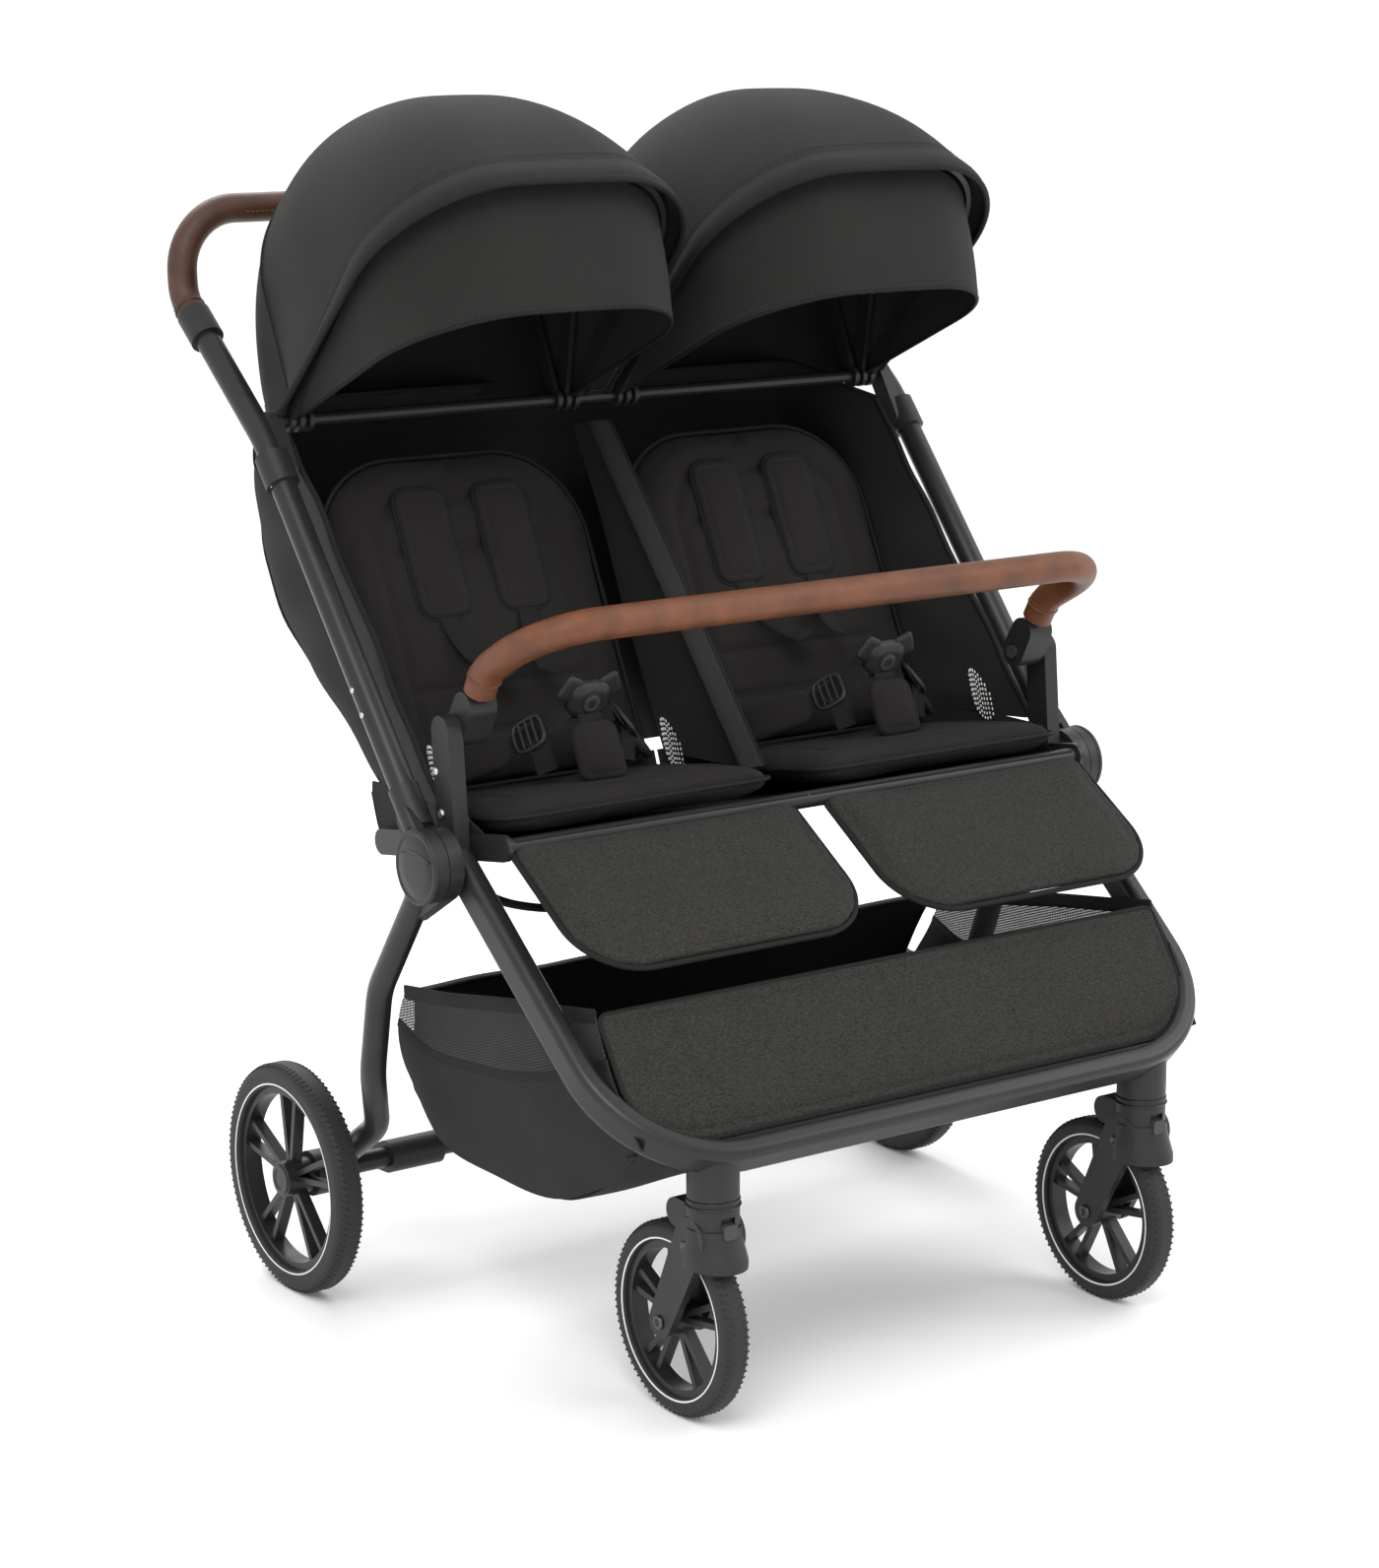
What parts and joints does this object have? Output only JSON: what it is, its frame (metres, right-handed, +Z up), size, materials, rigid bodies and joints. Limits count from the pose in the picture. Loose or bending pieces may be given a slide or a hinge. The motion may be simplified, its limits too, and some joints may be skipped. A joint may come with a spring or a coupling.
{
  "type": "twin stroller",
  "caption": "Folding side-by-side twin stroller with two canopied seats, reclining backrests, leather bumper bar, under-seat basket and swivelling front wheels.",
  "frame": {"origin": "on the floor, at the middle of the bounding box: half way across and half way between the front wheels' foremost point and the fold housing's rearmost point", "axes": "+X to the right as seen from the front, the front faces -Y, +Z up"},
  "size_m": [0.77, 0.745, 1.1197],
  "materials": {
    "frame_black": "satin",
    "plastic_black": "fine grain",
    "button_grey": "fine grain",
    "rim_black": "satin",
    "tyre_rubber": "matt with light tread",
    "seat_fabric": "dark warm grey weave",
    "melange_fabric": "melange weave",
    "shell_fabric": "charcoal weave",
    "handle_leather": "dark brown, fine grain",
    "bumper_leather": "cognac brown, fine grain"
  },
  "bodies": {
    "front_frame": {"front_frame_tube": "frame_black", "hinge_hubs": "plastic_black", "caster_sockets": "plastic_black", "bumper_brackets": "plastic_black", "seat_side_plates": "frame_black", "seat_cross_tubes": "frame_black", "seat_pads": "seat_fabric", "crotch_pads": "seat_fabric", "harness_buckles": "plastic_black", "basket": "melange_fabric"},
    "upper_frame": {"side_tube_left": "frame_black", "side_tube_right": "frame_black", "hinge_discs": "plastic_black", "handle_tube": "frame_black", "handle_grip": "handle_leather", "handle_collars": "plastic_black", "fold_housing": "plastic_black", "canopy_rod": "frame_black", "canopy_clamps": "plastic_black", "canopy_rear_bows": "plastic_black", "back_cover": "shell_fabric", "side_wings": "shell_fabric", "centre_divider": "shell_fabric"},
    "fold_button": {"fold_button": "button_grey"},
    "rear_frame": {"rear_leg_left": "frame_black", "rear_leg_right": "frame_black", "rear_axle_tube": "frame_black", "brake_housings": "plastic_black"},
    "brake_pedal": {"brake_pedal": "plastic_black"},
    "bumper": {"bumper_tube": "frame_black", "bumper_grip": "bumper_leather", "bumper_sockets": "plastic_black"},
    "rear_wheel_left": {"rear_tyre_left": "tyre_rubber", "rear_rim_left": "rim_black"},
    "caster_left": {"caster_fork_left": "plastic_black"},
    "swivel_lock_left": {"swivel_lock_left": "button_grey"},
    "front_wheel_left": {"front_tyre_left": "tyre_rubber", "front_rim_left": "rim_black"},
    "bumper_button_left": {"bumper_button_left": "button_grey"},
    "backrest_left": {"backrest_left": "seat_fabric", "shoulder_pads_left": "seat_fabric"},
    "calf_rest_left": {"calf_rest_left": "melange_fabric"},
    "canopy_middle_left": {"canopy_middle_bow_left": "plastic_black", "canopy_shell_left": "shell_fabric"},
    "canopy_front_left": {"canopy_front_bow_left": "plastic_black", "canopy_visor_left": "shell_fabric"},
    "rear_wheel_right": {"rear_tyre_right": "tyre_rubber", "rear_rim_right": "rim_black"},
    "caster_right": {"caster_fork_right": "plastic_black"},
    "swivel_lock_right": {"swivel_lock_right": "button_grey"},
    "front_wheel_right": {"front_tyre_right": "tyre_rubber", "front_rim_right": "rim_black"},
    "bumper_button_right": {"bumper_button_right": "button_grey"},
    "backrest_right": {"backrest_right": "seat_fabric", "shoulder_pads_right": "seat_fabric"},
    "calf_rest_right": {"calf_rest_right": "melange_fabric"},
    "canopy_middle_right": {"canopy_middle_bow_right": "plastic_black", "canopy_shell_right": "shell_fabric"},
    "canopy_front_right": {"canopy_front_bow_right": "plastic_black", "canopy_visor_right": "shell_fabric"}
  },
  "joints": [
    {"name": "frame_fold", "type": "hinge", "parent": "front_frame", "child": "upper_frame", "pos_m": [0, -0.083, 0.47], "axis": [1, 0, 0], "range_deg": [0, 150], "deforming": ["back_cover", "side_wings", "centre_divider", "basket", "crotch_pads", "harness_buckles", "seat_pads", "backrest_left", "backrest_right", "shoulder_pads_left", "shoulder_pads_right", "canopy_shell_left", "canopy_shell_right", "canopy_visor_left", "canopy_visor_right", "calf_rest_left", "calf_rest_right"]},
    {"name": "rear_leg_fold", "type": "hinge", "parent": "front_frame", "child": "rear_frame", "pos_m": [0, -0.083, 0.47], "axis": [1, 0, 0], "range_deg": [-45, 0]},
    {"name": "bumper_fold", "type": "hinge", "parent": "front_frame", "child": "bumper", "pos_m": [0, -0.07, 0.585], "axis": [1, 0, 0], "range_deg": [0, 60]},
    {"name": "brake_pedal", "type": "hinge", "parent": "rear_frame", "child": "brake_pedal", "pos_m": [0, 0.183, 0.111], "axis": [1, 0, 0], "range_deg": [-18, 0]},
    {"name": "fold_button", "type": "slide", "parent": "upper_frame", "child": "fold_button", "axis": [0, 0, 1], "range_m": [0, 0.004], "stiffness_N_per_m": 400},
    {"name": "canopy_fold_left", "type": "hinge", "parent": "upper_frame", "child": "canopy_middle_left", "pos_m": [0, 0.205, 0.83], "axis": [-1, 0, 0], "range_deg": [0, 30], "deforming": ["canopy_shell_left", "canopy_visor_left"]},
    {"name": "canopy_rim_left", "type": "hinge", "parent": "canopy_middle_left", "child": "canopy_front_left", "pos_m": [0, 0.205, 0.83], "axis": [-1, 0, 0], "range_deg": [0, 37], "deforming": ["canopy_visor_left"]},
    {"name": "recline_left", "type": "hinge", "parent": "upper_frame", "child": "backrest_left", "pos_m": [0, 0.073, 0.478], "axis": [1, 0, 0], "range_deg": [-28, 0], "deforming": ["back_cover", "backrest_left"]},
    {"name": "calf_rest_left", "type": "hinge", "parent": "front_frame", "child": "calf_rest_left", "pos_m": [0, -0.138, 0.49], "axis": [1, 0, 0], "range_deg": [-34, 50]},
    {"name": "swivel_left", "type": "hinge", "parent": "front_frame", "child": "caster_left", "pos_m": [-0.246, -0.333, 0.2116], "axis": [0, 0, 1], "continuous": true},
    {"name": "front_wheel_spin_left", "type": "hinge", "parent": "caster_left", "child": "front_wheel_left", "pos_m": [-0.246, -0.285, 0.0875], "axis": [1, 0, 0], "continuous": true},
    {"name": "rear_wheel_spin_left", "type": "hinge", "parent": "rear_frame", "child": "rear_wheel_left", "pos_m": [-0.366, 0.183, 0.111], "axis": [1, 0, 0], "continuous": true},
    {"name": "swivel_lock_left", "type": "slide", "parent": "caster_left", "child": "swivel_lock_left", "axis": [0, 0, 1], "range_m": [0, 0.005]},
    {"name": "bumper_button_left", "type": "slide", "parent": "bumper", "child": "bumper_button_left", "axis": [1, 0, 0], "range_m": [0, 0.003], "stiffness_N_per_m": 300},
    {"name": "canopy_fold_right", "type": "hinge", "parent": "upper_frame", "child": "canopy_middle_right", "pos_m": [0, 0.205, 0.83], "axis": [-1, 0, 0], "range_deg": [0, 30], "deforming": ["canopy_shell_right", "canopy_visor_right"]},
    {"name": "canopy_rim_right", "type": "hinge", "parent": "canopy_middle_right", "child": "canopy_front_right", "pos_m": [0, 0.205, 0.83], "axis": [-1, 0, 0], "range_deg": [0, 37], "deforming": ["canopy_visor_right"]},
    {"name": "recline_right", "type": "hinge", "parent": "upper_frame", "child": "backrest_right", "pos_m": [0, 0.073, 0.478], "axis": [1, 0, 0], "range_deg": [-28, 0], "deforming": ["back_cover", "backrest_right"]},
    {"name": "calf_rest_right", "type": "hinge", "parent": "front_frame", "child": "calf_rest_right", "pos_m": [0, -0.138, 0.49], "axis": [1, 0, 0], "range_deg": [-34, 50]},
    {"name": "swivel_right", "type": "hinge", "parent": "front_frame", "child": "caster_right", "pos_m": [0.246, -0.333, 0.2116], "axis": [0, 0, 1], "continuous": true},
    {"name": "front_wheel_spin_right", "type": "hinge", "parent": "caster_right", "child": "front_wheel_right", "pos_m": [0.246, -0.285, 0.0875], "axis": [1, 0, 0], "continuous": true},
    {"name": "rear_wheel_spin_right", "type": "hinge", "parent": "rear_frame", "child": "rear_wheel_right", "pos_m": [0.366, 0.183, 0.111], "axis": [1, 0, 0], "continuous": true},
    {"name": "swivel_lock_right", "type": "slide", "parent": "caster_right", "child": "swivel_lock_right", "axis": [0, 0, 1], "range_m": [0, 0.005]},
    {"name": "bumper_button_right", "type": "slide", "parent": "bumper", "child": "bumper_button_right", "axis": [-1, 0, 0], "range_m": [0, 0.003], "stiffness_N_per_m": 300}
  ],
  "couplings": [
    {"joint": "rear_leg_fold", "follows": "frame_fold", "ratio": -0.3},
    {"joint": "bumper_fold", "follows": "frame_fold", "ratio": 0.4},
    {"joint": "canopy_rim_left", "follows": "canopy_fold_left", "ratio": 1.2332},
    {"joint": "canopy_rim_right", "follows": "canopy_fold_right", "ratio": 1.2332}
  ]
}
